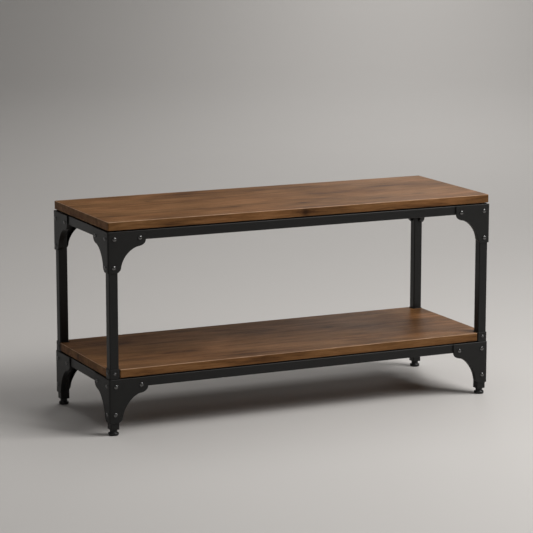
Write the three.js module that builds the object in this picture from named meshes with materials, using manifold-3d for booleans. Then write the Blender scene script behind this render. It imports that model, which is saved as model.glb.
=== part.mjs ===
// An entryway bench: a wooden seat board and a wooden shoe shelf on a black square-tube frame, with a
// riveted gusset folded round the outer corner of each leg, above and below, and four levelling feet.
// Millimetres, +Z up. The origin is on the floor under the middle of the bench, X runs along its length
// and its front faces -Y.

import * as THREE from "three";
import { mergeVertices } from "three/addons/utils/BufferGeometryUtils.js";
import Module from "manifold-3d";

// ---------------------------------------------------------------- driving dimensions

const LENGTH = 1000; // over the outer faces of the gussets
const DEPTH = 360;
const HEIGHT = 500; // floor to the top of the seat board
const SHELF_TOP = 156; // floor to the top of the shelf board
const LEG_BOTTOM = 14.5; // floor to the open end of a leg
const GAP = 0.3; // clearance left between pieces that touch

const TUBE = { size: 22, wall: 1.5, radius: 2 };
const BOARD = { thick: 20, inset: 2, ease: 1.5, lift: 3, notchClearance: 1.1 };
const PLATE = { thick: 2.7, bend: 1.2 }; // a gusset's sheet, and the radius inside its fold
const TIP = 16; // length of a wing's rounded tip, which has no lip
const LIP = { depth: 13, thick: 1.5, clear: 0.6 }; // a gusset's folded edge, from its outer face
const RIVET = { head: 5.25, dome: 3, shank: 3, grip: 6, hole: 3.8 };
const COLLAR = { wall: 1.5, seam: 1, proud: 1 };
const COLLAR_BOLT = { head: 3.75, dome: 2.2, shank: 2, grip: 4.5, hole: 2.5, below: 10 };
const SCREW = { head: 4, dome: 2.6, shank: 2, bite: 14, hole: 2.5, access: 5, at: 300 };
const SPACER = { width: 12, length: 880 };
const STEM = { radius: 4, bottom: 3.3, top: 46, bore: 4.3 };
const PAD = { radius: 12.25, thick: 8, neck: 8.5, top: 13.9, socket: 3 };
const INSERT = { depth: 20 };

// The two sizes of gusset: how far a wing reaches along its rail, and how far its tail reaches down
// the leg, both from the plate's outer corner.
const UPPER_GUSSET = { wing: 94, tail: 95.5 };
const LOWER_GUSSET = { wing: 96, tail: 103 };

// Rivet centres on each wing of a gusset, as [along the rail, down the leg] from its outer corner.
const RIVETS = { corner: [16, 17], rail: [79, 17], tail: [14, 83] };

// ---------------------------------------------------------------- sizes that follow from them

const PROUD = PLATE.thick + GAP; // how far a gusset stands out from the tubes
const LEG_X = LENGTH / 2 - PROUD; // the outer faces of the legs
const LEG_Y = DEPTH / 2 - PROUD;
const HALF_TUBE = TUBE.size / 2;
const SEAT_RAIL_TOP = HEIGHT - BOARD.thick - BOARD.lift;
const SHELF_RAIL_TOP = SHELF_TOP - BOARD.thick - BOARD.lift;
const COLLAR_TOP = SHELF_TOP + COLLAR.proud;
const COLLAR_BOTTOM = SHELF_RAIL_TOP + COLLAR.seam;

// Each corner's frame has its origin at the leg's outer edge, and +X and +Y run inwards along the rails.
const CORNERS = [
  { name: "front_left", x: -LEG_X, y: -LEG_Y, turn: 0 },
  { name: "front_right", x: LEG_X, y: -LEG_Y, turn: Math.PI / 2 },
  { name: "back_right", x: LEG_X, y: LEG_Y, turn: Math.PI },
  { name: "back_left", x: -LEG_X, y: LEG_Y, turn: -Math.PI / 2 },
];

// Each side's frame has its rail along X, with the rail's outer face towards -Y.
const SIDES = [
  { name: "front", turn: 0, run: 2 * LEG_X, reach: LEG_Y, long: true },
  { name: "right", turn: Math.PI / 2, run: 2 * LEG_Y, reach: LEG_X, long: false },
  { name: "back", turn: Math.PI, run: 2 * LEG_X, reach: LEG_Y, long: true },
  { name: "left", turn: -Math.PI / 2, run: 2 * LEG_Y, reach: LEG_X, long: false },
];

// The two levels of the bench: the seat with its rails, and the shelf with its rails.
const LEVELS = [
  { name: "seat", rail: "top_rail", railTop: SEAT_RAIL_TOP },
  { name: "shelf", rail: "shelf_rail", railTop: SHELF_RAIL_TOP },
];

// ---------------------------------------------------------------- materials

const wood = new THREE.MeshStandardMaterial({ color: 0x6f5340, roughness: 0.55, metalness: 0 });
const blackSteel = new THREE.MeshStandardMaterial({ color: 0x28282a, roughness: 0.5, metalness: 0.4 });
const blackBolt = new THREE.MeshStandardMaterial({ color: 0x232325, roughness: 0.35, metalness: 0.6 });
const blackPlastic = new THREE.MeshStandardMaterial({ color: 0x1a1a1b, roughness: 0.6, metalness: 0 });
const zincSteel = new THREE.MeshStandardMaterial({ color: 0x9b9da0, roughness: 0.35, metalness: 0.9 });

// ---------------------------------------------------------------- cutting and joining

const wasm = await Module();
wasm.setup();

function toSolid(geometry) {
  const bare = geometry.clone();
  bare.deleteAttribute("normal");
  bare.deleteAttribute("uv");
  const merged = mergeVertices(bare, 1e-4);
  return new wasm.Manifold(
    new wasm.Mesh({
      numProp: 3,
      vertProperties: merged.attributes.position.array,
      triVerts: new Uint32Array(merged.index.array),
    }),
  );
}

function toGeometry(solid) {
  const mesh = solid.getMesh();
  const geometry = new THREE.BufferGeometry();
  geometry.setAttribute("position", new THREE.BufferAttribute(mesh.vertProperties, 3));
  geometry.setIndex(new THREE.BufferAttribute(mesh.triVerts, 1));
  geometry.computeVertexNormals();
  return geometry;
}

function combine(method, body, others) {
  const joined = others.reduce((solid, other) => solid[method](toSolid(other)), toSolid(body));
  return toGeometry(joined);
}

const cut = (body, tools) => combine("subtract", body, tools);
const join = (body, others) => combine("add", body, others);
const keepInside = (body, masks) => combine("intersect", body, masks);

// ---------------------------------------------------------------- sections and simple bodies

// A square with round corners that stands `expand` outside the section of a leg, whose corner is at
// the origin. A negative value gives the bore of the tube.
function squarePath(path, expand) {
  const low = -expand;
  const high = TUBE.size + expand;
  const r = Math.max(TUBE.radius + expand, 0.5);
  path.absarc(high - r, low + r, r, -Math.PI / 2, 0);
  path.absarc(high - r, high - r, r, 0, Math.PI / 2);
  path.absarc(low + r, high - r, r, Math.PI / 2, Math.PI);
  path.absarc(low + r, low + r, r, Math.PI, 1.5 * Math.PI);
  path.closePath();
  return path;
}

// A square section extruded up from z = bottom, hollow when `inner` is given.
function squareBody(outer, inner, bottom, top) {
  const shape = squarePath(new THREE.Shape(), outer);
  if (inner !== null) shape.holes.push(squarePath(new THREE.Path(), inner));
  const options = { depth: top - bottom, bevelEnabled: false, curveSegments: 2 };
  return new THREE.ExtrudeGeometry(shape, options).translate(0, 0, bottom);
}

// The frame's tube, lying along X with its middle at the origin.
function tubeAlongX(length) {
  return squareBody(0, -TUBE.wall, 0, length)
    .translate(-HALF_TUBE, -HALF_TUBE, -length / 2)
    .rotateY(Math.PI / 2);
}

// A round rod along Z.
function rod(radius, bottom, top, sides = 8) {
  return new THREE.CylinderGeometry(radius, radius, top - bottom, sides)
    .rotateX(Math.PI / 2)
    .translate(0, 0, (top + bottom) / 2);
}

// A turned body from its profile, as [radius, height] pairs from the bottom up.
function turned(profile, sides) {
  const points = profile.map(([radius, height]) => new THREE.Vector2(radius, height));
  return new THREE.LatheGeometry(points, sides).rotateX(Math.PI / 2);
}

// A domed fastener along Z: its head stands up from z = 0 and its shank goes down to -grip.
function fastener({ head, dome, shank, grip }, sink = 0) {
  const profile = [
    [0, -grip],
    [shank, -grip],
    [shank, -sink],
    [head, -sink],
    [head * 0.7, dome * 0.75],
    [0, dome],
  ];
  return turned(profile, 8);
}

// Moves a body made along Z onto a leg's outer faces: one copy with its +Z to -Y, on the face y = 0,
// and one with its +Z to -X, on the face x = 0. `along` is the distance from the leg's outer edge.
function onFrontFace(body, along, z, proud = 0) {
  return body.clone().rotateX(Math.PI / 2).translate(along, -proud, z);
}

function onSideFace(body, along, z, proud = 0) {
  return onFrontFace(body, -along, z, proud).rotateZ(-Math.PI / 2);
}

const onBothFaces = (body, along, z, proud) => [
  onFrontFace(body, along, z, proud),
  onSideFace(body, along, z, proud),
];

// ---------------------------------------------------------------- the boards

// A board with eased edges, its top at the given height.
function easedBoard(shape, top) {
  const { thick, ease } = BOARD;
  const options = {
    depth: thick - 2 * ease,
    bevelThickness: ease,
    bevelSize: ease,
    bevelOffset: -ease,
    bevelSegments: 2,
    curveSegments: 3,
  };
  return new THREE.ExtrudeGeometry(shape, options).translate(0, 0, top - thick + ease);
}

const screwPlaces = () =>
  [-1, 1].flatMap((y) => [-1, 1].map((x) => [x * SCREW.at, y * (LEG_Y - HALF_TUBE)]));

function withPilotHoles(board, top) {
  const bottom = top - BOARD.thick;
  const drill = rod(SCREW.hole, bottom - 1, bottom + SCREW.bite + 1, 6);
  return cut(board, screwPlaces().map(([x, y]) => drill.clone().translate(x, y, 0)));
}

function seatBoard() {
  const x = LENGTH / 2 - BOARD.inset;
  const y = DEPTH / 2 - BOARD.inset;
  const shape = new THREE.Shape();
  shape.moveTo(-x, -y).lineTo(x, -y).lineTo(x, y).lineTo(-x, y).closePath();
  return withPilotHoles(easedBoard(shape, HEIGHT), HEIGHT);
}

// The shelf board has a square notch at each corner, where a leg in its collar passes.
function shelfBoard() {
  const x = LENGTH / 2 - BOARD.inset;
  const y = DEPTH / 2 - BOARD.inset;
  const clear = TUBE.size + GAP + COLLAR.wall + BOARD.notchClearance;
  const nx = LEG_X - clear;
  const ny = LEG_Y - clear;
  const shape = new THREE.Shape();
  shape.moveTo(-nx, -y).lineTo(nx, -y).lineTo(nx, -ny).lineTo(x, -ny);
  shape.lineTo(x, ny).lineTo(nx, ny).lineTo(nx, y).lineTo(-nx, y);
  shape.lineTo(-nx, ny).lineTo(-x, ny).lineTo(-x, -ny).lineTo(-nx, -ny).closePath();
  return withPilotHoles(easedBoard(shape, SHELF_TOP), SHELF_TOP);
}

// ---------------------------------------------------------------- a corner's pieces

const rivetHeight = (railTop, place) => railTop - place[1];
const rivetAlong = (place) => place[0] - PROUD;

// A leg is drilled for the corner and tail rivets of both gussets, and for the bolts of its collar.
function leg() {
  const rivetDrill = rod(RIVET.hole, -RIVET.grip, 1, 6);
  const boltDrill = rod(COLLAR_BOLT.hole, -RIVET.grip, 1, 6);
  const holes = [SEAT_RAIL_TOP, SHELF_RAIL_TOP].flatMap((railTop) =>
    [RIVETS.corner, RIVETS.tail].flatMap((place) =>
      onBothFaces(rivetDrill, rivetAlong(place), rivetHeight(railTop, place)),
    ),
  );
  holes.push(...onBothFaces(boltDrill, HALF_TUBE, COLLAR_TOP - COLLAR_BOLT.below));
  return cut(squareBody(0, -TUBE.wall, LEG_BOTTOM, SEAT_RAIL_TOP), holes);
}

// A wing's outline seen from outside: straight along the top and down the outer edge, a rounded tip on
// the rail, a deep hollow between rail and leg, and a tail that narrows to the leg's width. The
// coordinates run along the rail, times `side`, and up from the gusset's top edge.
function wingOutline({ wing, tail }, side) {
  const railEdge = TUBE.size - 1;
  const neck = 36; // the plate's depth where the tip meets the hollow
  const heel = tail - 11.5; // where the hollow meets the tail's rounded end
  const shape = new THREE.Shape();
  shape.moveTo(-side, 0);
  shape.lineTo(side * wing, 0);
  shape.lineTo(side * wing, -railEdge);
  shape.quadraticCurveTo(side * (wing - 1), -33, side * (wing - TIP), -neck);
  shape.bezierCurveTo(side * 58, -38, side * 36, -(tail - 37), side * 32.5, -heel);
  shape.quadraticCurveTo(side * 31.5, -(tail - 4.5), side * 23, -tail);
  shape.lineTo(-side, -tail);
  shape.closePath();
  return shape;
}

// A wing's lip: the edge of its hollow, from the tip to the heel beside the leg, folded back. Its
// section is the wing's outline less the same outline moved up and towards the leg.
function lip(size, railTop, side) {
  const options = { depth: LIP.depth - PLATE.thick / 2, bevelEnabled: false, curveSegments: 7 };
  const outline = new THREE.ExtrudeGeometry(wingOutline(size, side), options);
  const within = outline.clone().translate(-side * LIP.thick, LIP.thick, 0);
  const heelEnd = PROUD + TUBE.size + LIP.clear;
  const tipEnd = size.wing - TIP;
  const room = new THREE.BoxGeometry(tipEnd - heelEnd, 2 * size.tail, 3 * LIP.depth);
  room.translate((side * (tipEnd + heelEnd)) / 2, -size.tail - TUBE.size - LIP.clear, 0);
  return keepInside(cut(outline, [within]), [room])
    .rotateX(Math.PI / 2)
    .translate(-side * PROUD, LIP.depth - PROUD, railTop);
}

// A gusset: an L of sheet, folded round the leg's outer edge, both wings cut to the outline and lipped,
// with its rivets set in it. Each rivet's shank goes on through the wall of the tube behind.
function gusset(size, railTop) {
  const inner = -GAP;
  const outer = -PROUD;
  const end = size.wing - PROUD;
  const centre = inner + PLATE.bend;
  const section = new THREE.Shape();
  section.moveTo(end, outer).lineTo(end, inner).lineTo(centre, inner);
  section.absarc(centre, centre, PLATE.bend, -Math.PI / 2, Math.PI, true);
  section.lineTo(inner, end).lineTo(outer, end);
  section.absarc(centre, centre, PLATE.bend + PLATE.thick, Math.PI, 1.5 * Math.PI, false);
  section.closePath();
  const folded = new THREE.ExtrudeGeometry(section, {
    depth: size.tail,
    bevelEnabled: false,
    curveSegments: 4,
  }).translate(0, 0, railTop - size.tail);

  const options = { depth: 2 * size.wing, bevelEnabled: false, curveSegments: 7 };
  const mask = (side) =>
    new THREE.ExtrudeGeometry(wingOutline(size, side), options)
      .rotateX(Math.PI / 2)
      .translate(side * outer, 1.5 * size.wing, railTop);
  const plate = keepInside(folded, [mask(1), mask(-1).rotateZ(-Math.PI / 2)]);

  const rivet = fastener(RIVET, 0.3);
  const rivets = Object.values(RIVETS).flatMap((place) =>
    onBothFaces(rivet, rivetAlong(place), rivetHeight(railTop, place), PROUD),
  );
  const lips = [lip(size, railTop, 1), lip(size, railTop, -1).rotateZ(-Math.PI / 2)];
  return join(plate, [...lips, ...rivets]);
}

function collar() {
  const outside = GAP + COLLAR.wall;
  const drill = rod(COLLAR_BOLT.hole, -COLLAR.wall - 1, GAP + COLLAR.wall + 1, 6);
  const sleeve = squareBody(outside, GAP, COLLAR_BOTTOM, COLLAR_TOP);
  return cut(sleeve, onBothFaces(drill, HALF_TUBE, COLLAR_TOP - COLLAR_BOLT.below));
}

// A plug in the end of the leg, bored for the foot's stem.
function footInsert() {
  const plug = squareBody(-TUBE.wall - GAP, null, LEG_BOTTOM, LEG_BOTTOM + INSERT.depth);
  const bore = rod(STEM.bore, LEG_BOTTOM - 1, LEG_BOTTOM + INSERT.depth + 1, 12);
  return cut(plug, [bore.translate(HALF_TUBE, HALF_TUBE, 0)]);
}

function footStem() {
  const { radius, bottom, top } = STEM;
  const profile = [
    [0, bottom],
    [radius - 0.8, bottom],
    [radius, bottom + 0.8],
    [radius, top - 1],
    [radius - 1, top],
    [0, top],
  ];
  return turned(profile, 12).translate(HALF_TUBE, HALF_TUBE, 0);
}

// A turned foot: a disc with a round edge and a domed top, and a neck with a socket for the stem.
function footPad() {
  const { radius, thick, neck, top, socket } = PAD;
  const profile = [
    [0, 0],
    [radius - 1.6, 0],
    [radius - 0.4, 1],
    [radius, 2.8],
    [radius - 0.4, thick - 3],
    [radius - 1.8, thick - 1.2],
    [neck, thick],
    [neck, top],
    [STEM.bore, top],
    [STEM.bore, socket],
    [0, socket],
  ];
  return turned(profile, 16).translate(HALF_TUBE, HALF_TUBE, 0);
}

// ---------------------------------------------------------------- a side's pieces

// A rail lies between two legs. It is drilled for the two rivets at its ends, and a long one for the
// screws that hold the board: through its top wall, with an access hole below.
function rail({ run, long }) {
  const length = run - 2 * (TUBE.size + GAP);
  const rivetDrill = rod(RIVET.hole, -RIVET.grip, 1, 6);
  const ends = run / 2 - rivetAlong(RIVETS.rail);
  const height = HALF_TUBE - RIVETS.rail[1];
  const holes = [-ends, ends].map((x) => onFrontFace(rivetDrill, x, height, HALF_TUBE));
  if (long) {
    const screwDrill = rod(SCREW.hole, 0, HALF_TUBE + 1, 6);
    const accessDrill = rod(SCREW.access, -HALF_TUBE - 1, 0);
    for (const x of [-SCREW.at, SCREW.at]) {
      holes.push(screwDrill.clone().translate(x, 0, 0), accessDrill.clone().translate(x, 0, 0));
    }
  }
  return cut(tubeAlongX(length), holes);
}

// A strip that keeps the board clear of its rail, with a hole for each screw.
function spacer() {
  const thick = BOARD.lift - 2 * GAP;
  const strip = new THREE.BoxGeometry(SPACER.length, SPACER.width, thick);
  const drill = rod(SCREW.hole, -thick, thick, 6);
  return cut(strip, [-SCREW.at, SCREW.at].map((x) => drill.clone().translate(x, 0, 0)));
}

// A board screw, along Z, with its shoulder at z = 0: the head hangs below and the point is up.
function boardScrew() {
  const { head, dome, shank, bite } = SCREW;
  const reach = TUBE.wall + BOARD.lift + bite + GAP;
  const profile = [
    [0, -dome],
    [head * 0.8, -dome],
    [head, -dome * 0.4],
    [head, 0],
    [shank, 0],
    [shank, reach - 4],
    [0, reach],
  ];
  return turned(profile, 8);
}

// ---------------------------------------------------------------- assembly

const bench = new THREE.Group();

function add(parent, name, geometry, material) {
  const mesh = new THREE.Mesh(geometry, material);
  mesh.name = name;
  parent.add(mesh);
  return mesh;
}

add(bench, "seat_board", seatBoard(), wood);
add(bench, "shelf_board", shelfBoard(), wood);

const upperGusset = gusset(UPPER_GUSSET, SEAT_RAIL_TOP);
const lowerGusset = gusset(LOWER_GUSSET, SHELF_RAIL_TOP);
const legBody = leg();
const collarBody = collar();
const boltBody = fastener(COLLAR_BOLT);
const insertBody = footInsert();
const stemBody = footStem();
const padBody = footPad();

for (const { name, x, y, turn } of CORNERS) {
  const corner = new THREE.Group();
  corner.position.set(x, y, 0);
  corner.rotation.z = turn;
  bench.add(corner);
  add(corner, `leg_${name}`, legBody, blackSteel);
  add(corner, `upper_gusset_${name}`, upperGusset, blackSteel);
  add(corner, `lower_gusset_${name}`, lowerGusset, blackSteel);
  add(corner, `collar_${name}`, collarBody, blackSteel);
  const boltZ = COLLAR_TOP - COLLAR_BOLT.below;
  const boltProud = 2 * GAP + COLLAR.wall;
  const [first, second] = onBothFaces(boltBody, HALF_TUBE, boltZ, boltProud);
  add(corner, `collar_bolt_a_${name}`, first, blackBolt);
  add(corner, `collar_bolt_b_${name}`, second, blackBolt);
  add(corner, `foot_insert_${name}`, insertBody, blackPlastic);
  add(corner, `foot_stem_${name}`, stemBody, zincSteel);
  add(corner, `foot_pad_${name}`, padBody, blackPlastic);
}

for (const side of SIDES) {
  const sideGroup = new THREE.Group();
  sideGroup.rotation.z = side.turn;
  bench.add(sideGroup);
  const railBody = rail(side);
  for (const level of LEVELS) {
    const middle = new THREE.Group();
    middle.position.set(0, HALF_TUBE - side.reach, level.railTop - HALF_TUBE);
    sideGroup.add(middle);
    add(middle, `${level.rail}_${side.name}`, railBody, blackSteel);
    if (!side.long) continue;
    const strip = add(middle, `${level.name}_spacer_${side.name}`, spacer(), blackPlastic);
    strip.position.z = HALF_TUBE + BOARD.lift / 2;
    for (const [end, x] of [["a", -SCREW.at], ["b", SCREW.at]]) {
      const screw = add(middle, `${level.name}_screw_${side.name}_${end}`, boardScrew(), zincSteel);
      screw.position.set(x, 0, HALF_TUBE - TUBE.wall - GAP);
    }
  }
}

// The seat's cross brace, the same tube, between the middles of the long top rails.
const braceLength = 2 * (LEG_Y - TUBE.size - GAP);
const brace = add(bench, "seat_brace", tubeAlongX(braceLength), blackSteel);
brace.rotation.z = Math.PI / 2;
brace.position.z = SEAT_RAIL_TOP - HALF_TUBE;

export default bench;
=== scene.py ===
"""An entryway bench: two brown boards on a black square-tube frame with riveted corner gussets."""

import math

import bpy
import numpy as np
from bpy.props import FloatProperty, FloatVectorProperty, IntProperty, PointerProperty
from mathutils import Matrix, Vector


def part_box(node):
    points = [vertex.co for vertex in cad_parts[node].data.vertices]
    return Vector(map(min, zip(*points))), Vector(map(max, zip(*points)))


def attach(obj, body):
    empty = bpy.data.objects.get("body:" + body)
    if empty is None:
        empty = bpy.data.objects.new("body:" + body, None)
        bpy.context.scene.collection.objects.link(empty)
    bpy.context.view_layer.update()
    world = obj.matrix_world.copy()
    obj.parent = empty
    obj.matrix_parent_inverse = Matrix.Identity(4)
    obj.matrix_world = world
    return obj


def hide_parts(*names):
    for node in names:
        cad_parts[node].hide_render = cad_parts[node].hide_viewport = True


bl_info = {
    "name": "Entryway Bench",
    "version": (1, 0, 0),
    "blender": (4, 5, 0),
    "location": "View3D > Sidebar > Bench",
    "description": "Builds an entryway bench around its packed frame",
    "category": "Object",
}

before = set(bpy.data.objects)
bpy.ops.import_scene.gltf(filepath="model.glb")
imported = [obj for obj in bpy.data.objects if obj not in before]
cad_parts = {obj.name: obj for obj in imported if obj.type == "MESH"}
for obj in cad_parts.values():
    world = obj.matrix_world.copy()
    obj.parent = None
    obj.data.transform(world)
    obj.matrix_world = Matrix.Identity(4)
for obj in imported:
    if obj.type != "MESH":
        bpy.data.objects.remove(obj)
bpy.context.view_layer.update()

MM = 0.001

# The two boards' levels and their rails, the gussets' levels, the rails' sides, and a collar's faces.
LEVELS = {"seat": "top_rail", "shelf": "shelf_rail"}
GUSSETS = ("upper", "lower")
SIDES = ("front", "right", "back", "left")
FACES = ("a", "b")

# Quarter turns that bring the front left corner to each corner, in the order of the sides.
CORNERS = {"front_left": 0, "front_right": 1, "back_right": 2, "back_left": 3}

# Hardware out of sight under the boards, whose solids from the frame are shown as they are.
SPACERS = [f"{level}_spacer_{side}" for level in LEVELS for side in ("front", "back")]
SCREWS = [
    f"{level}_screw_{side}_{end}" for level in LEVELS for side in ("front", "back") for end in "ab"
]


def frame_size(node, axis):
    """How long a node of the frame is along an axis."""
    low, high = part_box(node)
    return high[axis] - low[axis]


# The square tube and its wall, a gusset's plate, the gap left under it, and how far it stands out.
TUBE = frame_size("leg_front_left", 0)
WALL = 1.5 * MM
PLATE = 2.7 * MM
GAP = 0.3 * MM
PROUD = PLATE + GAP

# The hole for a stem, in its foot and in the insert, and the height of a collar bolt's head.
BORE = 4.3 * MM
BOLT_DOME = 2.2 * MM

# Rivet centres on each wing of a gusset: distance along the rail, and down from the gusset's top.
RIVETS = ((16 * MM, 17 * MM), (79 * MM, 17 * MM), (14 * MM, 83 * MM))

# The middle of a leg in its corner's frame.
LEG_AXIS = (TUBE / 2, TUBE / 2, 0)


# ---------------------------------------------------------------- what a user may change


class BoardLook(bpy.types.PropertyGroup):
    """Sizes and colours of the two boards"""

    ease: FloatProperty(
        name="Eased edge", default=1.5 * MM, unit="LENGTH", description="Radius of the long edges"
    )
    corner: FloatProperty(
        name="Corner", default=2.6 * MM, unit="LENGTH", description="Radius of the plan corners"
    )
    light: FloatVectorProperty(
        name="Early wood", default=(0.275, 0.133, 0.057), subtype="COLOR", description="Pale grain"
    )
    middle: FloatVectorProperty(
        name="Body wood", default=(0.172, 0.078, 0.029), subtype="COLOR", description="Common tone"
    )
    dark: FloatVectorProperty(
        name="Late wood", default=(0.058, 0.025, 0.010), subtype="COLOR", description="Dark grain"
    )
    # Paler colour of the rubbed top edge, partly real wear and partly a painted highlight where the
    # eased edge catches the light.
    worn_and_highlight: FloatVectorProperty(
        name="Rubbed edge",
        default=(0.56, 0.37, 0.25),
        subtype="COLOR",
        description="Where the stain is rubbed thin",
    )
    olive: FloatVectorProperty(
        name="Cool patches",
        default=(0.84, 0.93, 0.92),
        subtype="COLOR",
        description="Tint of the greener patches",
    )


class SteelLook(bpy.types.PropertyGroup):
    """Sizes and colours of the steel frame, its gussets and its feet"""

    radius: FloatProperty(
        name="Tube corner", default=2 * MM, unit="LENGTH", description="Outside corner radius"
    )
    bend: FloatProperty(
        name="Fold", default=1.2 * MM, unit="LENGTH", description="Radius inside a gusset's fold"
    )
    chamfer: FloatProperty(
        name="Plate edge", default=0.7 * MM, unit="LENGTH", description="Chamfer of cut edges"
    )
    lip: FloatProperty(
        name="Lip", default=13 * MM, unit="LENGTH", description="Depth of a gusset's folded edge"
    )
    lip_sheet: FloatProperty(
        name="Lip sheet", default=1.5 * MM, unit="LENGTH", description="Thickness of the lip"
    )
    tip: FloatProperty(
        name="Tip", default=16 * MM, unit="LENGTH", description="Length of a wing's rounded tip"
    )
    rivet: FloatProperty(
        name="Rivet head", default=5.25 * MM, unit="LENGTH", description="Radius of a rivet's head"
    )
    dome: FloatProperty(
        name="Rivet dome", default=3 * MM, unit="LENGTH", description="Height of a rivet's head"
    )
    pitch: FloatProperty(
        name="Thread pitch", default=1.25 * MM, unit="LENGTH", description="Rise per turn of a foot"
    )
    coat: FloatVectorProperty(
        name="Powder coat",
        default=(0.0050, 0.0050, 0.0047),
        subtype="COLOR",
        description="Black of the frame",
    )
    bolt: FloatVectorProperty(
        name="Bolt black",
        default=(0.0045, 0.0045, 0.0045),
        subtype="COLOR",
        description="Black of the bolts and rivets",
    )


class StageLook(bpy.types.PropertyGroup):
    """The floor, the light and the camera"""

    floor: FloatVectorProperty(
        name="Floor",
        default=(0.56, 0.545, 0.53),
        subtype="COLOR",
        description="Colour of floor and backdrop",
    )
    key: FloatProperty(
        name="Key light", default=94.0, description="Power of the main softbox, in watts"
    )
    side: FloatProperty(
        name="Side light", default=13.0, description="Power of the low softbox, in watts"
    )
    fill: FloatProperty(
        name="Fill light", default=4.5, description="Power of the softbox on the left, in watts"
    )
    rim: FloatProperty(
        name="Rim light", default=2.5, description="Power of the softbox behind, in watts"
    )
    overhead: FloatProperty(
        name="Overhead light", default=88.0, description="Power of the ceiling panel, in watts"
    )
    wash: FloatProperty(
        name="Wash light",
        default=64.0,
        description="Power of the strip over the backdrop, in watts",
    )
    sky: FloatProperty(
        name="Room light", default=0.10, description="Strength of the light from all round"
    )
    azimuth: FloatProperty(
        name="Azimuth", default=math.radians(-25.02), subtype="ANGLE", description="Camera's side"
    )
    height: FloatProperty(
        name="Elevation",
        default=math.radians(10.52),
        subtype="ANGLE",
        description="Camera's height",
    )
    distance: FloatProperty(
        name="Distance", default=5.678, unit="LENGTH", description="Camera's distance"
    )
    lens: FloatProperty(name="Lens", default=157.05, description="Focal length, in millimetres")
    steps: IntProperty(name="Backdrop steps", default=96, description="Steps round the backdrop")


# ---------------------------------------------------------------- surfaces


def quads(rows, columns, close_rows=False, close_columns=False):
    """The faces of a grid: each joins a point to its neighbours in the next row and column."""
    i, j = np.meshgrid(
        np.arange(rows if close_rows else rows - 1),
        np.arange(columns if close_columns else columns - 1),
        indexing="ij",
    )
    across = (j + 1) % columns
    this, above = i * columns, (i + 1) % rows * columns
    return np.stack([this + j, this + across, above + across, above + j], -1).reshape(-1, 4)


def fan(pole, ring):
    """Triangles from a pole to a closed ring of points."""
    return np.stack([np.full(len(ring), pole), ring, np.roll(ring, -1)], -1)


def rounded(corners, radius, inset=0.0, steps=5):
    """A rectilinear outline, anticlockwise, moved inwards, with each corner a quarter circle.

    A corner's circle has its centre one radius back along the side before it and one along the side
    after. Moving inwards makes an outer corner's radius smaller and an inner corner's larger. A point
    just outside each end of an arc keeps the flats flat under smooth shading."""
    margin, least = 0.3 * MM, 0.05 * MM
    points = np.array(corners, float)
    before = points - np.roll(points, 1, axis=0)
    before /= np.linalg.norm(before, axis=1)[:, None]
    after = np.roll(before, -1, axis=0)
    inward = lambda d: np.stack([-d[:, 1], d[:, 0]], -1)
    turn = before[:, 0] * after[:, 1] - before[:, 1] * after[:, 0]
    r = np.maximum(radius - inset * turn, least)[:, None, None]
    points = points + inset * (inward(before) + inward(after))
    before, after = before[:, None, :], after[:, None, :]
    angle = np.linspace(0, math.pi / 2, steps + 1)[None, :, None]
    centre = points[:, None, :] - before * r + after * r
    bend = centre + r * (before * np.sin(angle) - after * np.cos(angle))
    first, last = bend[:, :1] - before * margin, bend[:, -1:] + after * margin
    return np.concatenate([first, bend, last], 1).reshape(-1, 2)


def square(size, radius, inset=0.0):
    """A square outline centred on the origin, with round corners."""
    h = size / 2
    return rounded([(-h, -h), (h, -h), (h, h), (-h, h)], radius, inset)


def stacked(rows, hollow=False):
    """Outlines at their heights, from the bottom up, joined row to row. A hollow body goes up the
    outside and down the inside and closes on its first row; a solid one has a cap at each end."""
    count = len(rows[0][0])
    points = np.concatenate([np.column_stack([loop, np.full(count, z)]) for loop, z in rows])
    faces = [quads(len(rows), count, close_rows=hollow, close_columns=True)]
    if not hollow:
        faces += [np.arange(count)[None, ::-1], (len(rows) - 1) * count + np.arange(count)[None]]
    return points, faces


def turned(profile, steps, radius=None):
    """A profile of (radius, height) pairs turned about Z, from a pole on the axis to another. With
    `radius`, a function of angle and height gives what is added to each ring's radius."""
    profile = np.array(profile, float)
    angle = np.arange(steps) * 2 * math.pi / steps
    r, z = profile[1:-1, :1], profile[1:-1, 1:]
    r = r + (radius(angle[None], z) if radius else 0)
    rings = np.stack([r * np.cos(angle), r * np.sin(angle), z + 0 * angle], -1).reshape(-1, 3)
    poles = np.array([(0, 0, profile[0, 1]), (0, 0, profile[-1, 1])])
    low, high = len(rings), len(rings) + 1
    ring = np.arange(steps)
    faces = [quads(len(profile) - 2, steps, close_columns=True)]
    faces += [fan(low, ring[::-1]), fan(high, (len(profile) - 3) * steps + ring)]
    return np.concatenate([rings, poles]), faces


def arc(centre, radius, start, end, steps):
    """Points (radius, height) on a circular arc in a turned profile, its angles in degrees, with 0
    outwards and 90 up."""
    angle = np.radians(np.linspace(start, end, steps))
    return (np.array(centre) + radius * np.column_stack([np.cos(angle), np.sin(angle)])).tolist()


def curve(points, steps):
    """A Bezier curve from the first point to the last, pulled by those between, without its start:
    the sum of each point times its binomial share of t and 1 - t."""
    t = np.linspace(0, 1, steps + 1)[1:, None]
    last = len(points) - 1
    share = [math.comb(last, k) * t**k * (1 - t) ** (last - k) for k in range(last + 1)]
    return sum(part * np.array(point) for part, point in zip(share, points))


def moved(part, offset):
    """A part moved by an offset."""
    points, faces = part
    return points + np.array(offset, float), faces


def turned_about_z(part, quarter_turns):
    """A part turned about Z by quarter turns."""
    points, faces = part
    angle = quarter_turns * math.pi / 2
    c, s = round(math.cos(angle)), round(math.sin(angle))
    return points @ np.array([[c, s, 0], [-s, c, 0], [0, 0, 1]], float), faces


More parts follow.
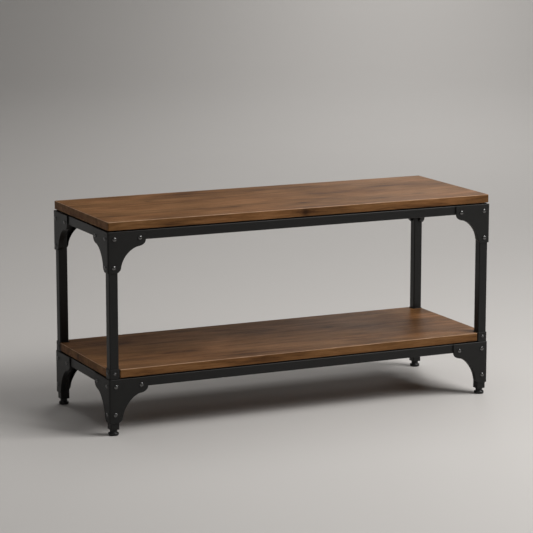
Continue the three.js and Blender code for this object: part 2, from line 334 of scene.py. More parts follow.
def along(part, axis):
    """A part made along Z, laid along X or Y, by shifting its three axes round."""
    points, faces = part
    return np.roll(points, {"X": 1, "Y": 2}[axis], axis=1), faces


def volume(points, faces):
    """The volume inside closed faces: a sixth of the sum of each triangle's triple product."""
    total = 0.0
    for group in faces:
        first = points[group[:, 0]]
        for k in range(1, group.shape[1] - 1):
            second, third = points[group[:, k]], points[group[:, k + 1]]
            total += np.einsum("ij,ij->", first, np.cross(second, third))
    return total / 6


# ---------------------------------------------------------------- pieces


def piece(name, parts, finish, body="bench", replaces=(), wear=None, sharp=35):
    """Makes one object of closed parts, facing out, with its finish, and puts it on its body. Edges
    that turn by more than `sharp` degrees stay sharp, and the wear mask, rubbed wear with a
    painted highlight, is a number for each point."""
    points, faces, start = [], [], 0
    for part_points, groups in parts:
        step = -1 if volume(part_points, groups) < 0 else 1
        for group in groups:
            faces += (group[:, ::step] + start).tolist()
        points.append(part_points)
        start += len(part_points)
    points = np.concatenate(points)
    mesh = bpy.data.meshes.new(name)
    mesh.from_pydata(points.tolist(), [], faces)
    mesh.polygons.foreach_set("use_smooth", np.ones(len(faces), bool))
    mesh.set_sharp_from_angle(angle=math.radians(sharp))
    if wear is not None:
        values = mesh.attributes.new("wear", "FLOAT", "POINT").data
        values.foreach_set("value", wear.astype(np.float32))
    mesh.materials.append(FINISHES[finish]())
    made = bpy.data.objects.new(name, mesh)
    bpy.context.scene.collection.objects.link(made)
    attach(made, body)
    if replaces:
        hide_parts(*replaces)


def corner_place(corner):
    """Where a corner is: its leg's outer edge in plan, and the quarter turns from the front left."""
    low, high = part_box(f"leg_{corner}")
    x = low.x if low.x < 0 else high.x
    y = low.y if low.y < 0 else high.y
    return (x, y, 0), CORNERS[corner]


def at_corner(part, corner):
    """A part made in a corner's frame, with +X and +Y inwards along its rails, in its place."""
    origin, turns = corner_place(corner)
    return moved(turned_about_z(part, turns), origin)


def hollow_square(size, wall, radius, low, high, ease=0.35 * MM):
    """A length of square tube along Z, open at both ends, its outer end edges eased by a chamfer."""
    outside = square(size, radius)
    eased = square(size, radius, ease)
    inside = square(size, radius, wall)
    rows = [(eased, low), (outside, low + ease), (outside, high - ease), (eased, high)]
    return stacked([*rows, (inside, high), (inside, low)], hollow=True)


def board(node, outline, look):
    """A board: its outline carried round a profile with a quarter circle at the top and bottom edges.
    Its wear mask is rubbed wear plus a painted highlight along the eased top edge: greatest halfway
    round that edge, and small in the notches, away from the rim."""
    low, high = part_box(node)
    ease = look.ease
    margin = ease + 0.4 * MM
    theta = np.radians(np.linspace(0, 90, 6))
    inset, rise = ease * (1 - np.sin(theta)), ease * (1 - np.cos(theta))
    lower = [(margin, low.z), *zip(inset, low.z + rise), (0, low.z + margin), (0, high.z - margin)]
    upper = [*zip(inset[::-1], high.z - rise[::-1]), (margin, high.z)]
    part = stacked([(rounded(outline, look.corner, d), z) for d, z in lower + upper])
    rim, sheltered = 0.985, 0.2
    across = np.abs(rounded(outline, look.corner)) / np.abs([high.x, high.y])
    exposed = np.where(across.max(1) > rim, 1.0, sheltered)
    # Rows round the eased top edge carry the rubbed wear and the painted highlight, peaking halfway
    # round.
    rubbed_and_lit = [0] * len(lower) + list(np.sin(2 * theta) ** 0.5) + [0]
    wear = np.outer(rubbed_and_lit, exposed).reshape(-1)
    piece(node + "_wood", [part], "wood", replaces=[node], wear=wear)


def seat_outline():
    """The seat board's corners, anticlockwise."""
    low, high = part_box("seat_board")
    return [(low.x, low.y), (high.x, low.y), (high.x, high.y), (low.x, high.y)]


def shelf_outline():
    """The shelf board's corners, anticlockwise, with a notch round each leg's collar."""
    x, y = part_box("shelf_board")[1].xy
    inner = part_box("collar_back_right")[0]
    clear = 0.8 * MM
    nx, ny = inner.x - clear, inner.y - clear
    quarter = np.array([(nx, -y), (nx, -ny), (x, -ny)])
    flip = np.array([[1, 1], [1, -1], [-1, -1], [-1, 1]])
    turns = [(quarter, quarter[::-1])[k % 2] * flip[k] for k in range(4)]
    return np.concatenate(turns)


def gusset_edge(wing, tail, fold, tip_length):
    """The lower edge of one wing, as (distance along the rail, depth down the leg) from the plate's
    corner: the tail's end, its rounded heel, the hollow between leg and rail, and the rounded tip."""
    heel = [(23 * MM, tail), (31.5 * MM, tail - 4.5 * MM), (32.5 * MM, tail - 11.5 * MM)]
    hollow = [heel[-1], (36 * MM, tail - 37 * MM), (58 * MM, 38 * MM), (wing - tip_length, 36 * MM)]
    tip = [hollow[-1], (wing - 1 * MM, 33 * MM), (wing, 21 * MM)]
    tail_end = [(fold, tail), (fold + 8 * MM, tail), heel[0]]
    return np.concatenate([tail_end, curve(heel, 8), curve(hollow, 20), curve(tip, 10)])


def folded_plate(wing, tail, top, look):
    """A gusset's plate. A flat grid, from the top edge down to the lower edge, is wrapped round the
    leg's outer edge by a fold of constant radius. The outline's rim is chamfered on both faces."""
    fold = look.bend + PLATE
    half = fold * math.pi / 4
    edge = gusset_edge(wing, tail, fold, look.tip)
    edge[:, 0] += half - fold
    bend = np.linspace(-half, half, 7)[1:-1]
    bend = np.column_stack([bend, np.full(len(bend), tail)])
    lower = np.concatenate([edge[::-1] * (-1, 1), bend, edge])
    share = np.linspace(0, 1, 9)[:, None]
    grid = np.stack([lower[:, 0] + 0 * share, share * lower[:, 1]], -1)
    rows, columns = grid.shape[:2]
    index = np.arange(rows * columns).reshape(rows, columns)
    rim = np.concatenate([index[0], index[1:, -1], index[-1, -2::-1], index[-2:0:-1, 0]])
    flat = grid.reshape(-1, 2)
    path = flat[rim]
    ahead = np.roll(path, -1, axis=0) - path
    ahead /= np.linalg.norm(ahead, axis=1)[:, None]
    behind = np.roll(ahead, 1, axis=0)
    n1, n2 = (np.stack([-d[:, 1], d[:, 0]], -1) for d in (behind, ahead))
    mitre = (n1 + n2) / (1 + np.sum(n1 * n2, -1))[:, None]
    eased = flat.copy()
    eased[rim] += mitre * look.chamfer

    def wrap(sheet, depth):
        """Lays the sheet on the leg: straight wings, and an arc between them."""
        s, v = sheet.T
        angle = np.radians(45 * np.clip(s / half, -1, 1) - 135)
        past = np.maximum(np.abs(s) - half, 0)
        x = fold - PROUD + (fold - depth) * np.cos(angle) + np.where(s > 0, past, 0)
        y = fold - PROUD + (fold - depth) * np.sin(angle) + np.where(s < 0, past, 0)
        return np.column_stack([x, y, top - v])

    outer, inner = wrap(path, look.chamfer), wrap(path, PLATE - look.chamfer)
    points = np.concatenate([wrap(eased, 0), outer, inner, wrap(eased, PLATE)])
    n, m = len(flat), len(path)
    ring = np.arange(m)
    levels = np.stack([rim, n + ring, n + m + ring, n + 2 * m + rim])
    strip = levels.reshape(-1)[quads(4, m, close_columns=True)]
    front = quads(rows, columns)
    return points, [front, strip[:, ::-1], (front + n + 2 * m)[:, ::-1]]


def gusset_lips(wing, tail, top, look):
    """The folded edges of a gusset's two hollows. A thin rounded section, from inside the plate to the
    lip's depth, is carried along the lower edge from the heel beside the leg to the rounded tip."""
    path = gusset_edge(wing, tail, look.bend + PLATE, look.tip) - (PROUD, 0)
    ahead = np.gradient(path, axis=0)
    ahead /= np.linalg.norm(ahead, axis=1)[:, None]
    outward = np.column_stack([-ahead[:, 1], ahead[:, 0]])
    first, last = TUBE + look.lip_sheet, wing - look.tip - PROUD + GAP
    free = (path[:, 0] > first) & (path[:, 0] < last)
    path, outward = path[free], outward[free]
    inner, outer, start, corner = -look.lip_sheet, 0.05 * MM, PLATE / 2, 0.35 * MM
    section = rounded([(inner, start), (outer, start), (outer, look.lip), (inner, look.lip)], corner)
    place = path[:, None] + outward[:, None] * section[None, :, :1]
    depth = np.broadcast_to(section[:, 1] - PROUD, place.shape[:2])
    front = np.stack([place[..., 0], depth, top - place[..., 1]], -1).reshape(-1, 3)
    count = len(section)
    ends = [np.arange(count)[None, ::-1], (len(path) - 1) * count + np.arange(count)[None]]
    faces = [quads(len(path), count, close_columns=True), *ends]
    return [(front, faces), (front[:, [1, 0, 2]], faces)]


def rivet_head(radius, dome):
    """A rivet's head, standing on z = 0: a short upright rim, then a quarter ellipse to the crown."""
    t = np.radians(np.linspace(0, 90, 12))[:-1]
    rim, shoulder, sunk = 0.16 * dome, 0.1 * MM, 0.1 * MM
    cap = np.column_stack([(radius - shoulder) * np.cos(t), rim + (dome - rim) * np.sin(t)])
    base = [(0, -sunk), (radius, -sunk), (radius, 0.6 * rim)]
    return turned([*base, *cap.tolist(), (0, dome)], steps=32)


def on_faces(part, distance, height, proud):
    """Two copies of a part made along +Z, on a leg's two outer faces, standing proud of them, at a
    distance from the leg's edge."""
    points, faces = part
    outward = np.column_stack([points[:, 0], -points[:, 2], points[:, 1]])
    front = outward + np.array([distance, -proud, height])
    side = np.column_stack([front[:, 1], front[:, 0], front[:, 2]])
    return [(front, faces), (side, faces)]


def gusset(level, corner, look):
    """One gusset: its plate with the two folded edges, and its six rivets as a second piece."""
    node = f"{level}_gusset_{corner}"
    low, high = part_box(node)
    wing = high.x - low.x - look.dome
    tail = high.z - low.z
    parts = [folded_plate(wing, tail, high.z, look), *gusset_lips(wing, tail, high.z, look)]
    plate = [at_corner(part, corner) for part in parts]
    piece(f"{level}_gusset_plate_{corner}", plate, "black_plate", replaces=[node], sharp=40)
    head = rivet_head(look.rivet, look.dome)
    heads = [
        at_corner(copy, corner)
        for distance, drop in RIVETS
        for copy in on_faces(head, distance - PROUD, high.z - drop, PROUD)
    ]
    piece(f"{level}_rivets_{corner}", heads, "black_bolt", replaces=[node])


def leg(corner, look):
    """A leg: a length of square tube standing in its corner."""
    low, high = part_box(f"leg_{corner}")
    tube = moved(hollow_square(TUBE, WALL, look.radius, low.z, high.z), LEG_AXIS)
    piece(f"leg_tube_{corner}", [at_corner(tube, corner)], "black_frame", replaces=[f"leg_{corner}"])


def lying_tube(node, look):
    """A rail or a brace: a length of square tube lying along the longer side of its box."""
    low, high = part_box(node)
    axis = 0 if high.x - low.x > high.y - low.y else 1
    middle = (low + high) / 2
    half = (high[axis] - low[axis]) / 2
    tube = along(hollow_square(TUBE, WALL, look.radius, -half, half), "XY"[axis])
    piece(f"{node}_tube", [moved(tube, middle)], "black_frame", replaces=[node])


def collar(corner, look):
    """A sleeve round a leg, with its two bolts."""
    node = f"collar_{corner}"
    low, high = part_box(node)
    size = high.x - low.x
    wall = (size - TUBE) / 2 - GAP
    sleeve = moved(hollow_square(size, wall, look.radius + wall, low.z, high.z), LEG_AXIS)
    sleeve = at_corner(sleeve, corner)
    piece(f"collar_sleeve_{corner}", [sleeve], "black_plate", replaces=[node])
    bolt_low, bolt_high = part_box(f"collar_bolt_a_{corner}")
    head = rivet_head((bolt_high.z - bolt_low.z) / 2, BOLT_DOME)
    copies = on_faces(head, TUBE / 2, (bolt_low.z + bolt_high.z) / 2, wall + GAP)
    for face, copy in zip(FACES, copies):
        name = f"collar_bolt_{face}_{corner}"
        piece(name + "_head", [at_corner(copy, corner)], "black_bolt", replaces=[name])


def foot_pad(corner):
    """A foot: a disc with a round edge and a dished top, a groove, and a neck bored for the stem."""
    node = f"foot_pad_{corner}"
    low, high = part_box(node)
    radius, top = (high.x - low.x) / 2, high.z
    socket, neck, groove_height = 3 * MM, 8.5 * MM, 8.3 * MM
    edge, dish, groove, lip, chamfer = 2.2 * MM, 3.0 * MM, 0.9 * MM, 0.6 * MM, 0.3 * MM
    profile = [(0, 0), (radius - edge, 0)]
    profile += arc((radius - edge, edge), edge, -90, 0, 7)
    profile += arc((radius - dish, 2 * edge), dish, 4, 82, 9)
    profile += arc((neck + groove, groove_height), groove, 270, 180, 5)
    profile += arc((neck - lip, top - lip), lip, 0, 90, 4)
    profile += [(BORE + chamfer, top), (BORE, top - chamfer), (BORE, socket), (0, socket)]
    part = at_corner(moved(turned(profile, steps=56), LEG_AXIS), corner)
    piece(f"foot_{corner}_glide", [part], "foot_glide", f"foot_{corner}", [node])


def foot_stem(corner, look):
    """A foot's stem: a rod whose radius falls and rises along a helix of the thread's pitch, with
    pointed ends."""
    node = f"foot_stem_{corner}"
    low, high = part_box(node)
    radius, point = (high.x - low.x) / 2, 0.8 * MM
    depth, fade = 0.55 * look.pitch, 2 * look.pitch

    def thread(angle, z):
        """A triangle wave along the helix, cut flat at crest and root, that fades at both ends."""
        wave = np.abs(((z / look.pitch - angle / (2 * math.pi)) % 1) * 2 - 1)
        ends = np.clip(np.minimum(z - low.z, high.z - z) / fade, 0, 1)
        return -depth * np.clip(1.3 * wave - 0.15, 0, 1) * ends

    heights = np.arange(low.z, high.z, look.pitch / 6)
    taper = np.clip(np.minimum(heights - low.z, high.z - heights) / point, 0, 1)
    sides = [(radius - point * (1 - k), z) for z, k in zip(heights, taper)]
    rod = turned([(0, low.z), *sides, (0, high.z)], 24, thread)
    part = at_corner(moved(rod, LEG_AXIS), corner)
    piece(f"stem_{corner}_thread", [part], "zinc_steel", f"stem_{corner}", [node])


def foot_insert(corner):
    """A plug in the leg's end: square outside and round inside, with a chamfered mouth."""
    node = f"foot_insert_{corner}"
    low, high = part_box(node)
    corner_radius, flare, chamfer = 0.6 * MM, 1.15, 0.6 * MM
    outside = square(high.x - low.x, corner_radius)
    angle = np.arctan2(outside[:, 1], outside[:, 0])
    inside = BORE * np.column_stack([np.cos(angle), np.sin(angle)])
    rows = [(inside * flare, low.z), (outside, low.z), (outside, high.z), (inside, high.z)]
    rows += [(inside, low.z + chamfer)]
    part = at_corner(moved(stacked(rows, hollow=True), LEG_AXIS), corner)
    piece(f"foot_insert_plug_{corner}", [part], "black_plastic", replaces=[node])


# ---------------------------------------------------------------- finishes


def scaled(colour, share):
    """A colour made darker or lighter by a share."""
    return tuple(share * channel for channel in colour)


class Wire:
    """A number carried by a socket. Arithmetic on it adds Math nodes."""

    def __init__(self, finish, socket):
        self.finish, self.socket = finish, socket

    def math(self, operation, *values):
        return self.finish.number("ShaderNodeMath", {"operation": operation}, dict(enumerate(values)))

    def __add__(self, other):
        return self.math("ADD", self, other)

    def __radd__(self, other):
        return self.math("ADD", other, self)

    def __sub__(self, other):
        return self.math("SUBTRACT", self, other)

    def __rsub__(self, other):
        return self.math("SUBTRACT", other, self)

    def __mul__(self, other):
        return self.math("MULTIPLY", self, other)

    def __rmul__(self, other):
        return self.math("MULTIPLY", other, self)

    def __neg__(self):
        return self.math("MULTIPLY", self, -1.0)

    def __pow__(self, other):
        return self.math("POWER", self, other)

    def sine(self):
        """The sine of this number, in radians."""
        return self.math("SINE", self)

    def falloff(self):
        """e to minus this number."""
        return self.math("EXPONENT", -self)

    def clamp(self):
        """This number, kept between 0 and 1."""
        return self.finish.number("ShaderNodeClamp", {}, {"Value": self})

    def step(self, low, high):
        """A smooth rise from 0 at low to 1 at high."""
        settings = {"interpolation_type": "SMOOTHSTEP"}
        values = {"Value": self, "From Min": low, "From Max": high}
        return self.finish.number("ShaderNodeMapRange", settings, values)


class Finish:
    """A material being made, around one Principled shader."""

    def __init__(self, name):
        self.material = bpy.data.materials.new(name)
        self.material.use_nodes = True
        self.nodes = self.material.node_tree.nodes
        self.nodes.clear()
        self.shader = self.add("ShaderNodeBsdfPrincipled")
        self.add("ShaderNodeOutputMaterial", {}, {"Surface": self.shader.outputs[0]})

    def add(self, kind, settings=(), values=()):
        """Adds a node: its settings first, then the values or links of its sockets."""
        node = self.nodes.new(kind)
        for key, value in dict(settings).items():
            if key == "stops":
                while len(node.color_ramp.elements) < len(value):
                    node.color_ramp.elements.new(1.0)
                for element, (position, colour) in zip(node.color_ramp.elements, value):
                    element.position, element.color = position, (*colour, 1.0)
            else:
                setattr(node, key, value)
        for key, value in dict(values).items():
            self.feed(node.inputs[key], value)
        return node

    def feed(self, socket, value):
        """Links a socket to another, or sets its value."""
        if isinstance(value, Wire):
            value = value.socket
        if isinstance(value, bpy.types.NodeSocket):
            self.material.node_tree.links.new(value, socket)
        elif socket.type == "RGBA":
            socket.default_value = (*value, 1.0)
        else:
            socket.default_value = value

    def number(self, kind, settings, values):
        """Adds a node and gives its first output as a number."""
        return Wire(self, self.add(kind, settings, values).outputs[0])

    def position(self):
        """The point on the piece, in the bench's own frame."""
        return self.add("ShaderNodeTexCoord").outputs["Object"]

    def axes(self, vector):
        """The three numbers of a vector."""
        return [Wire(self, out) for out in self.add("ShaderNodeSeparateXYZ", {}, {0: vector}).outputs]

    def vector(self, x, y, z):
        """A vector from three numbers."""
        return self.add("ShaderNodeCombineXYZ", {}, {0: x, 1: y, 2: z}).outputs[0]

    def noise(self, vector, scale, detail=3.0, roughness=0.5, stretch=(1, 1, 1), distortion=0.0):
        """Noise from 0 to 1, its vector stretched first."""
        mapped = self.add("ShaderNodeMapping", {}, {"Vector": vector, "Scale": stretch}).outputs[0]
        values = {"Vector": mapped, "Scale": scale, "Detail": detail}
        values |= {"Roughness": roughness, "Distortion": distortion}
        return self.number("ShaderNodeTexNoise", {}, values)

    def mix(self, share, first, second, blend="MIX"):
        """One colour into another by a share."""
        settings = {"data_type": "RGBA", "blend_type": blend}
        return self.add("ShaderNodeMix", settings, {0: share, 6: first, 7: second}).outputs[2]

    def ramp(self, share, stops):
        """A colour from a ramp of stops."""
        return self.add("ShaderNodeValToRGB", {"stops": stops}, {0: share}).outputs[0]

    def bump(self, height, distance, strength=1.0):
        """A surface normal from a height."""
        values = {"Height": height, "Distance": distance, "Strength": strength}
        return self.add("ShaderNodeBump", {}, values).outputs[0]

    def finished(self, **sockets):
        """Feeds the shader's sockets and gives the material."""
        for name, value in sockets.items():
            label = name.replace("_", " ").title().replace("Ior", "IOR")
            self.feed(self.shader.inputs[label], value)
        return self.material


# Knots and dark figures in the boards: place and radius in metres, in the bench's own frame, and how
# dark. KNOT_DEPTH is how far above or below its place a knot fades out.
KNOT_DEPTH = 0.011
KNOTS = (
    (0.000, -0.176, 0.490, 0.0052, 0.95),
    (0.030, -0.102, 0.499, 0.0056, 0.70),
    (0.352, -0.088, 0.499, 0.0080, 0.45),
    (-0.142, -0.088, 0.499, 0.0090, 0.40),
    (-0.300, 0.070, 0.499, 0.0044, 0.80),
    (-0.250, -0.062, 0.155, 0.0095, 0.45),
    (0.170, 0.040, 0.155, 0.0060, 0.75),
    (-0.492, 0.030, 0.146, 0.0050, 0.80),
)


def wood_finish():
    """Stained brown wood: clouds, long streaks, fine fibres, pores, knots, and rubbed edges that also
    carry a painted highlight.
    """
    look = bpy.context.scene.bench_board
    f = Finish("wood")
    place = f.position()
    x, y, z = f.axes(place)

    # Each knot is an ellipse, long with the grain: a dark core, and rings that reach further. The
    # grain parts round it: near a knot, distances across the grain shrink.
    core, reach, parting = (0.55, 1.0), (0.22, 0.55), -0.8
    across, knotted, ringed = y, 0.0, 0.0
    for kx, ky, kz, size, strength in KNOTS:
        dx, dy, dz = x - kx, y - ky, (z - kz) * (1 / KNOT_DEPTH)
        far = (dx * (reach[0] / size)) ** 2.0 + (dy * (reach[1] / size)) ** 2.0 + dz * dz
        near = far.falloff()
        across = across + near * dy * parting
        inside = (dx * (core[0] / size)) ** 2.0 + (dy * (core[1] / size)) ** 2.0 + dz * dz
        knotted = inside.falloff() * strength + knotted
        ringed = near * strength + ringed
    grain = f.vector(x, across, z)

    clouds = f.noise(grain, 1.0, 3.0, 0.55, stretch=(4.2, 12.0, 12.0), distortion=0.5)
    streaks = f.noise(grain, 1.0, 5.0, 0.62, stretch=(6.5, 72.0, 72.0), distortion=0.35)
    lines = f.noise(grain, 1.0, 4.0, 0.65, stretch=(16.0, 270.0, 270.0))
    fibres = f.noise(grain, 1.0, 3.0, 0.7, stretch=(45.0, 950.0, 950.0))
    pores = f.noise(grain, 1.0, 2.0, 0.6, stretch=(70.0, 1300.0, 1300.0)).step(0.60, 0.72)
    hues = f.noise(grain, 1.0, 3.0, 0.5, stretch=(3.0, 20.0, 20.0)).step(0.35, 0.68)

    tone = clouds * 0.34 + streaks * 0.34 + lines * 0.24 + fibres * 0.08
    colour = f.ramp(tone, [(0.38, look.dark), (0.50, look.middle), (0.61, look.light)])
    colour = f.mix(hues * 0.55, colour, look.olive, "MULTIPLY")
    colour = f.mix(pores * 0.40, colour, scaled(look.dark, 0.5))
    rings = (ringed * 26.0 + lines * 9.0).sine() * 0.5 + 0.5
    colour = f.mix((ringed * (rings * 0.5 + 0.22)).clamp(), colour, look.dark)
    colour = f.mix(knotted.clamp(), colour, scaled(look.dark, 0.35))

    # The rubbed edge colour, broken up in patches, is partly real wear and partly a painted highlight
    # along the eased top edge.
    wear = Wire(f, f.add("ShaderNodeAttribute", {"attribute_name": "wear"}).outputs["Fac"])
    patchy = f.noise(place, 1.0, 3.0, 0.6, stretch=(22.0, 60.0, 60.0)).step(0.30, 0.72)
    colour = f.mix((wear * (patchy * 0.45 + 0.38)).clamp(), colour, look.worn_and_highlight)

    height = fibres * 0.30 + lines * 0.40 - pores * 0.9 - knotted * 0.8
    smudge = f.noise(place, 5.0, 3.0, 0.5)
    return f.finished(
        base_color=colour,
        roughness=0.50 + smudge * 0.10 + pores * 0.16 - streaks * 0.06,
        normal=f.bump(height, 0.12 * MM, 0.9),
        specular_ior_level=0.06,
    )


def coat_finish(name, colour, grit, matt, shine=0.33, ior=1.5):
    """Satin powder coat: an orange-peel skin with fine grit, a little dust, and tone that drifts. The
    grit is the skin's height, and matt is its least roughness."""
    f = Finish(name)
    place = f.position()
    drift = f.noise(place, 9.0, 3.0, 0.55)
    peel = f.noise(place, 620.0, 2.0, 0.5)
    fine = f.noise(place, 2300.0, 2.0, 0.6)
    specks = f.noise(place, 1500.0, 1.0, 0.5).step(0.70, 0.80)
    scuffs = f.noise(place, 1.0, 4.0, 0.65, stretch=(60.0, 60.0, 14.0)).step(0.60, 0.78)
    dust = drift * 0.35 + specks * 0.25 + scuffs * 0.14
    return f.finished(
        base_color=f.mix(dust, scaled(colour, 0.82), scaled(colour, 2.1)),
        roughness=matt + drift * 0.10 + scuffs * 0.08 - specks * 0.08,
        normal=f.bump(peel * 0.7 + fine * 0.3, grit, 1.0),
        specular_ior_level=shine,
        ior=ior,
    )


def frame_finish():
    """The tubes' powder coat."""
    colour = bpy.context.scene.bench_steel.coat
    return coat_finish("black_frame", colour, grit=0.05 * MM, matt=0.40)


def plate_finish():
    """The gussets' and collars' powder coat, a little rougher than the tubes'."""
    colour = scaled(bpy.context.scene.bench_steel.coat, 1.08)
    return coat_finish("black_plate", colour, grit=0.07 * MM, matt=0.43)


def bolt_finish():
    """Black bolts and rivets, smoother and glossier than the plate they sit on."""
    colour = bpy.context.scene.bench_steel.bolt
    return coat_finish("black_bolt", colour, grit=0.015 * MM, matt=0.17, shine=0.9, ior=1.7)


def glide_finish():
    """The feet: moulded black plastic with a turned sheen."""
    return coat_finish("foot_glide", (0.012, 0.012, 0.0125), grit=0.02 * MM, matt=0.30)


def plastic_finish():
    """Matt black plastic and rubber, for the inserts and the spacer strips."""
    return coat_finish("black_plastic", (0.010, 0.010, 0.010), grit=0.06 * MM, matt=0.62)


def zinc_finish():
    """Zinc plate on the stems and screws: bright metal with a cloudy tone."""
    f = Finish("zinc_steel")
    place = f.position()
    cloud = f.noise(place, 240.0, 4.0, 0.6)
    colour = f.mix(cloud, (0.42, 0.43, 0.44), (0.66, 0.67, 0.68))
    normal = f.bump(f.noise(place, 1800.0), 0.02 * MM)
    return f.finished(base_color=colour, roughness=0.26 + cloud * 0.20, normal=normal, metallic=1.0)


def once(make):
    """Makes a material on first use and gives the same one afterwards."""
    made = []

    def give():
        if not made:
            made.append(make())
        return made[0]

    return give


FINISHES = {
    "wood": once(wood_finish),
    "black_frame": once(frame_finish),
    "black_plate": once(plate_finish),
    "black_bolt": once(bolt_finish),
    "foot_glide": once(glide_finish),
    "black_plastic": once(plastic_finish),
    "zinc_steel": once(zinc_finish),
}


# ---------------------------------------------------------------- the stage


# The softboxes: place, the point they face, size, and the way their second side points, in metres.
SOFTBOXES = {
    "key": ((1.75, -1.75, 2.75), (0.15, 0.0, 0.1), (1.9, 1.9), (0, 0, 1)),
    "overhead": ((1.0, 1.0, 4.6), (1.0, 1.0, 0), (5.0, 5.0), (0, 1, 0)),
    "side": ((2.1, -1.2, 1.8), (0.2, -0.18, 0.3), (0.5, 0.5), (0, 0, 1)),
    "rim": ((-1.9, 2.7, 0.5), (-0.4, -0.1, 0.3), (1.0, 0.7), (0, 0, 1)),
    "fill": ((-3.0, -1.9, 1.3), (-0.4, -0.2, 0.1), (1.4, 1.4), (0, 0, 1)),
    "wash": ((3.7, 6.0, 2.3), (3.7, 6.0, 0), (0.9, 7.0), (0.42, 0.89, 0)),
}
LIGHT_COLOUR = (1.0, 0.985, 0.965)
ROOM_COLOUR = (1.0, 0.985, 0.97, 1.0)


def backdrop(look):
    """A round studio floor turned about the bench, its height the cube of the distance past its
    flat middle."""
    inner, flat, outer, rise = 0.6, 7.0, 13.0, 0.055
    radius = np.linspace(inner, outer, 32)[:, None]
    height = rise * np.maximum(radius - flat, 0) ** 3
    turn = np.arange(look.steps) * 2 * math.pi / look.steps
    rings = np.stack([radius * np.cos(turn), radius * np.sin(turn), height + 0 * turn], -1)
    points = np.concatenate([rings.reshape(-1, 3), [(0, 0, 0)]])
    faces = quads(len(radius), look.steps, close_columns=True)[:, ::-1].tolist()
    faces += fan(len(points) - 1, np.arange(look.steps)).tolist()
    mesh = bpy.data.meshes.new("studio_floor")
    mesh.from_pydata(points.tolist(), [], faces)
    mesh.polygons.foreach_set("use_smooth", np.ones(len(faces), bool))
    f = Finish("studio_floor")
    tint = f.noise(f.position(), 3.0, 2.0, 0.5)
    colour = f.mix(tint, scaled(look.floor, 0.985), look.floor)
    mesh.materials.append(f.finished(base_color=colour, roughness=0.75, specular_ior_level=0.25))
    made = bpy.data.objects.new("studio_floor", mesh)
    bpy.context.scene.collection.objects.link(made)


def softbox(name, power):
    """A rectangular area light, placed, aimed, sized and turned as SOFTBOXES says."""
    place, aim, size, top = SOFTBOXES[name]
    data = bpy.data.lights.new(name, "AREA")
    data.shape, data.size, data.size_y = "RECTANGLE", *size
    data.energy, data.color = power, LIGHT_COLOUR
    away = (Vector(place) - Vector(aim)).normalized()
    across = Vector(top).cross(away).normalized()
    made = bpy.data.objects.new(name, data)
    made.location = place
    made.rotation_euler = Matrix((across, away.cross(across), away)).transposed().to_euler()
    made.visible_camera = False
    bpy.context.scene.collection.objects.link(made)


def camera(look):
    """The camera: on a ray from the bench's middle, moved sideways and up in its own plane."""
    middle, sideways, raised = Vector((0, 0, 0.25)), -0.0168, 0.0786
    a, e = look.azimuth, look.height
    back = Vector((math.sin(a) * math.cos(e), -math.cos(a) * math.cos(e), math.sin(e)))
    right = Vector((math.cos(a), math.sin(a), 0))
    up = back.cross(right)
    data = bpy.data.cameras.new("camera")
    data.sensor_width, data.lens = 36.0, look.lens
    data.clip_start, data.clip_end = 0.05, 100.0
    made = bpy.data.objects.new("camera", data)
    made.location = middle + back * look.distance + right * sideways + up * raised
    made.rotation_euler = (-back).to_track_quat("-Z", "Y").to_euler()
    bpy.context.scene.collection.objects.link(made)
    bpy.context.scene.camera = made


# ---------------------------------------------------------------- operators


class BENCH_OT_boards(bpy.types.Operator):
    """Makes the seat board and the shelf board"""

    bl_idname = "bench.boards"
    bl_label = "Boards"

    def execute(self, context):
        look = context.scene.bench_board
        board("seat_board", seat_outline(), look)
        board("shelf_board", shelf_outline(), look)
        return {"FINISHED"}


class BENCH_OT_legs(bpy.types.Operator):
    """Makes the four legs"""

    bl_idname = "bench.legs"
    bl_label = "Legs"

    def execute(self, context):
        for corner in CORNERS:
            leg(corner, context.scene.bench_steel)
        return {"FINISHED"}


class BENCH_OT_rails(bpy.types.Operator):
    """Makes the rails of both levels and the seat's cross brace"""

    bl_idname = "bench.rails"
    bl_label = "Rails and brace"

    def execute(self, context):
        rails = [f"{rail}_{side}" for rail in LEVELS.values() for side in SIDES]
        for node in (*rails, "seat_brace"):
            lying_tube(node, context.scene.bench_steel)
        return {"FINISHED"}


class BENCH_OT_gussets(bpy.types.Operator):
    """Makes the eight corner gussets and their rivets"""

    bl_idname = "bench.gussets"
    bl_label = "Gussets and rivets"

    def execute(self, context):
        for level in GUSSETS:
            for corner in CORNERS:
                gusset(level, corner, context.scene.bench_steel)
        return {"FINISHED"}


class BENCH_OT_collars(bpy.types.Operator):
    """Makes the four collars and their bolts"""

    bl_idname = "bench.collars"
    bl_label = "Collars and bolts"

    def execute(self, context):
        for corner in CORNERS:
            collar(corner, context.scene.bench_steel)
        return {"FINISHED"}


class BENCH_OT_feet(bpy.types.Operator):
    """Makes the levelling feet: glides, threaded stems and inserts"""

    bl_idname = "bench.feet"
    bl_label = "Feet"

    def execute(self, context):
        for corner in CORNERS:
            foot_pad(corner)
            foot_stem(corner, context.scene.bench_steel)
            foot_insert(corner)
        return {"FINISHED"}


class BENCH_OT_hardware(bpy.types.Operator):
    """Finishes the hidden hardware: spacer strips and board screws"""

    bl_idname = "bench.hardware"
    bl_label = "Spacers and screws"

    def execute(self, context):
        for names, slot in ((SPACERS, "black_plastic"), (SCREWS, "zinc_steel")):
            for name in names:
                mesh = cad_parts[name].data
                mesh.materials.clear()
                mesh.materials.append(FINISHES[slot]())
        return {"FINISHED"}


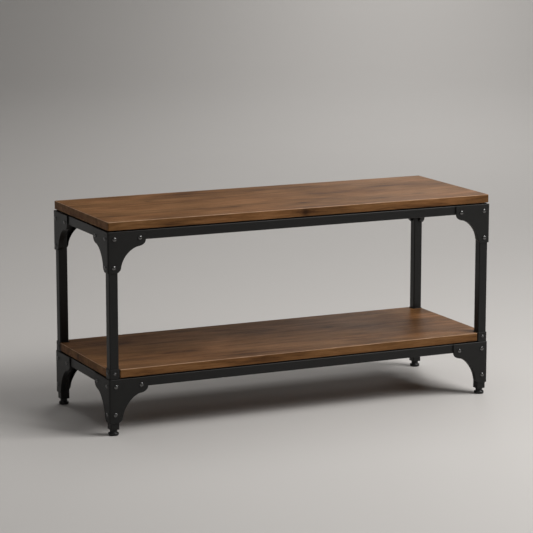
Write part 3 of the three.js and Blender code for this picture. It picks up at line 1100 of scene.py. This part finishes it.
class BENCH_OT_stage(bpy.types.Operator):
    """Makes the floor, the lights and the camera"""

    bl_idname = "bench.stage"
    bl_label = "Stage"

    def execute(self, context):
        look = context.scene.bench_stage
        camera(look)
        backdrop(look)
        for name in SOFTBOXES:
            softbox(name, getattr(look, name))
        world = bpy.data.worlds.new("room")
        world.use_nodes = True
        background = world.node_tree.nodes["Background"]
        background.inputs["Color"].default_value = ROOM_COLOUR
        background.inputs["Strength"].default_value = look.sky
        context.scene.world = world
        context.scene.view_settings.view_transform = "Standard"
        return {"FINISHED"}


class BENCH_PT_panel(bpy.types.Panel):
    """Lists the bench's operators and what a user may change"""

    bl_idname = "BENCH_PT_panel"
    bl_label = "Entryway Bench"
    bl_space_type = "VIEW_3D"
    bl_region_type = "UI"
    bl_category = "Bench"

    def draw(self, context):
        for operator in OPERATORS:
            self.layout.operator(operator.bl_idname)
        for name in LOOKS:
            group = getattr(context.scene, name)
            column = self.layout.column()
            for key in group.bl_rna.properties.keys():
                if key not in {"rna_type", "name"}:
                    column.prop(group, key)


OPERATORS = (
    BENCH_OT_stage,
    BENCH_OT_boards,
    BENCH_OT_legs,
    BENCH_OT_rails,
    BENCH_OT_gussets,
    BENCH_OT_collars,
    BENCH_OT_feet,
    BENCH_OT_hardware,
)
LOOKS = {"bench_board": BoardLook, "bench_steel": SteelLook, "bench_stage": StageLook}


def register():
    """Registers the classes and hangs the looks on the scene."""
    for cls in (*LOOKS.values(), *OPERATORS, BENCH_PT_panel):
        bpy.utils.register_class(cls)
    for name, look in LOOKS.items():
        setattr(bpy.types.Scene, name, PointerProperty(type=look))


def unregister():
    """Takes the looks off the scene and unregisters the classes."""
    for name in LOOKS:
        delattr(bpy.types.Scene, name)
    for cls in (BENCH_PT_panel, *reversed(OPERATORS), *reversed(list(LOOKS.values()))):
        bpy.utils.unregister_class(cls)


def main():
    """Registers the add-on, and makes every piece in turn."""
    register()
    for operator in OPERATORS:
        group, name = operator.bl_idname.split(".")
        getattr(getattr(bpy.ops, group), name)()


if __name__ == "__main__":
    main()
